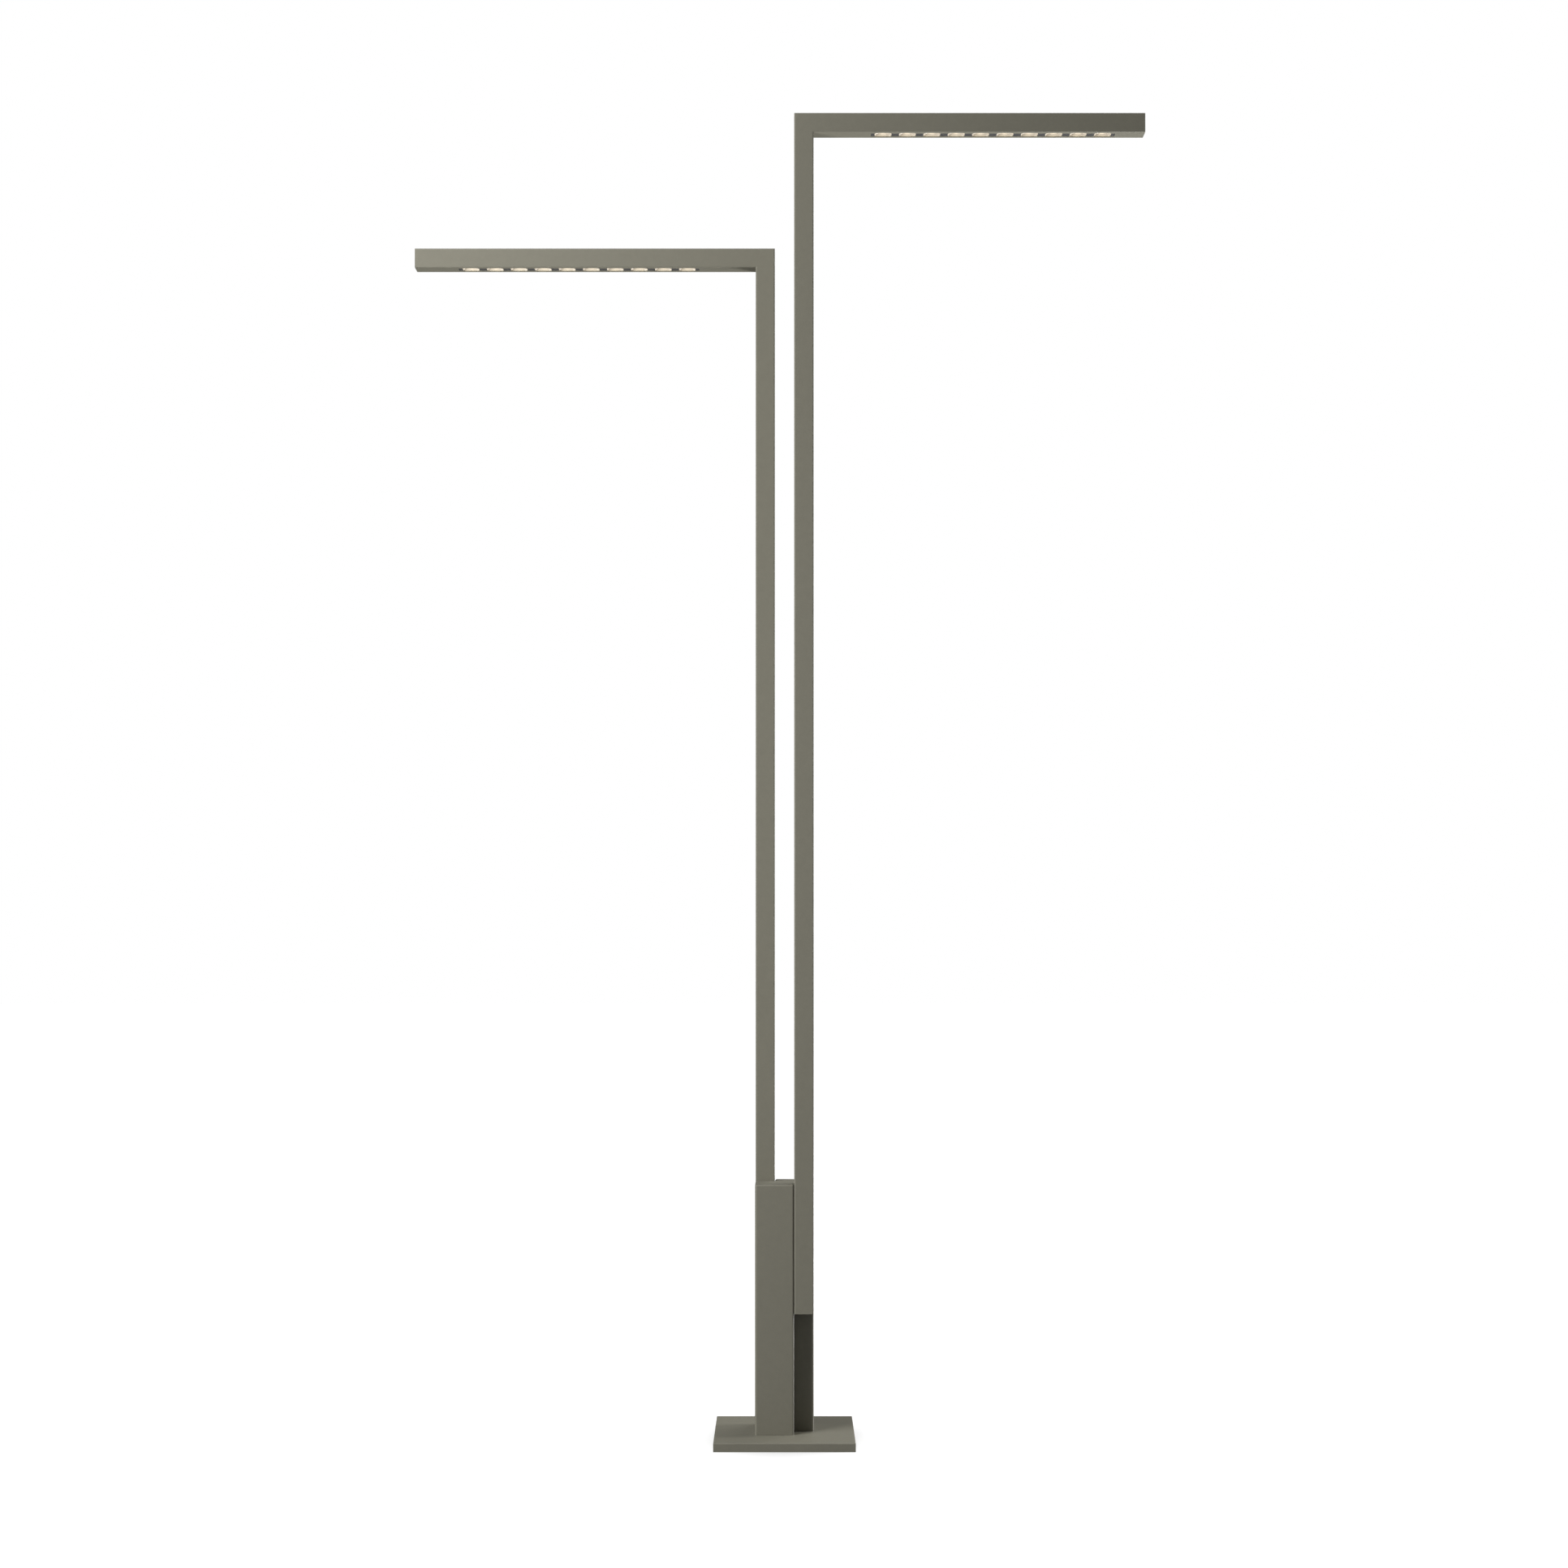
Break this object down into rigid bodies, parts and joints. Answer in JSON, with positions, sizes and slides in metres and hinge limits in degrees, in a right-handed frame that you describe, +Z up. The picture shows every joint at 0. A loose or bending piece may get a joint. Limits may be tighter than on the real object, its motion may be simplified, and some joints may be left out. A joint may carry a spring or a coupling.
{
  "type": "twin-mast street light",
  "caption": "Two square L-shaped masts of different height, with downward light rows in their arms, clamped in corner notches of a square column on a flat base.",
  "frame": {"origin": "middle of the square base's underside, on the ground", "axes": "+Z up along the masts, +X along the upper lamp's arm, the lower lamp's arm points to -X, the service door faces +Y"},
  "size_m": [3.029, 0.575, 5.466],
  "materials": {
    "coated_steel": "grey-olive fine-textured powder coat, satin",
    "coated_aluminium": "grey-olive fine-textured powder coat, satin",
    "bare_aluminium": "mill-finish extruded aluminium",
    "galvanised_steel": "hot-dip galvanised, dull",
    "stainless_steel": "stainless steel, turned and brushed",
    "brass": "plain brass",
    "black_rubber": "moulded black rubber",
    "slide_plastic": "low-friction black plastic",
    "black_plastic": "black moulded plastic, fine grain",
    "baffle_plastic": "dark grey moulded plastic, ribbed",
    "light_plastic": "light grey moulded plastic",
    "driver_housing": "off-white moulded driver housing",
    "circuit_board": "white solder mask",
    "led_phosphor": "yellow LED phosphor under clear silicone",
    "reflector_plastic": "warm white moulded reflector, satin",
    "clear_lens": "clear moulded lens, frosted",
    "cable_sheath": "black rubber cable sheath"
  },
  "bodies": {
    "base": {"base_flange": "galvanised_steel", "base_cover": "coated_steel", "cover_screws": "stainless_steel", "cable_grommet": "black_rubber", "earth_stud": "brass", "column_shell": "coated_steel", "slide_pads": "slide_plastic", "clamp_bolts": "stainless_steel", "clamp_bars": "galvanised_steel", "wall_bushes": "black_rubber", "door_frame": "galvanised_steel", "door_gasket": "black_rubber", "fixed_hinge_leaves": "stainless_steel", "hinge_pins": "stainless_steel", "gear_plate": "galvanised_steel", "plate_standoffs": "galvanised_steel", "upper_driver": "driver_housing", "lower_driver": "driver_housing", "driver_screws": "stainless_steel", "surge_protector": "light_plastic", "terminal_box": "light_plastic", "terminal_box_lid": "light_plastic", "terminal_block": "light_plastic", "fuse_holders": "black_plastic", "cable_glands": "black_plastic", "driver_leads": "cable_sheath"},
    "door": {"service_door": "coated_steel", "door_hinge_leaves": "stainless_steel", "lock_housing": "stainless_steel"},
    "lock": {"lock_plug": "stainless_steel", "lock_cam": "stainless_steel"},
    "upper_lamp": {"upper_mast": "coated_aluminium", "upper_arm": "coated_aluminium", "upper_corner_bracket": "bare_aluminium", "upper_end_cap": "coated_aluminium", "upper_cap_screws": "stainless_steel", "upper_foot_cap": "black_plastic", "upper_led_tray": "bare_aluminium", "upper_tray_screws": "stainless_steel", "upper_led_board": "circuit_board", "upper_leds": "led_phosphor", "upper_reflectors": "reflector_plastic", "upper_lenses": "clear_lens", "upper_baffles": "baffle_plastic", "upper_lamp_cable": "cable_sheath"},
    "lower_lamp": {"lower_mast": "coated_aluminium", "lower_arm": "coated_aluminium", "lower_corner_bracket": "bare_aluminium", "lower_end_cap": "coated_aluminium", "lower_cap_screws": "stainless_steel", "lower_foot_cap": "black_plastic", "lower_led_tray": "bare_aluminium", "lower_tray_screws": "stainless_steel", "lower_led_board": "circuit_board", "lower_leds": "led_phosphor", "lower_reflectors": "reflector_plastic", "lower_lenses": "clear_lens", "lower_baffles": "baffle_plastic", "lower_lamp_cable": "cable_sheath"}
  },
  "joints": [
    {"name": "upper_lamp_slide", "type": "slide", "parent": "base", "child": "upper_lamp", "axis": [0, 0, 1], "range_m": [-0.492, 0]},
    {"name": "lower_lamp_slide", "type": "slide", "parent": "base", "child": "lower_lamp", "axis": [0, 0, 1], "range_m": [0, 0.5165]},
    {"name": "service_door_hinge", "type": "hinge", "parent": "base", "child": "door", "pos_m": [-0.0105, 0.1245, 0.715], "axis": [0, 0, 1], "range_deg": [0, 110]},
    {"name": "lock_turn", "type": "hinge", "parent": "door", "child": "lock", "pos_m": [0.076, 0.121, 0.715], "axis": [0, 1, 0], "range_deg": [0, 90]}
  ]
}
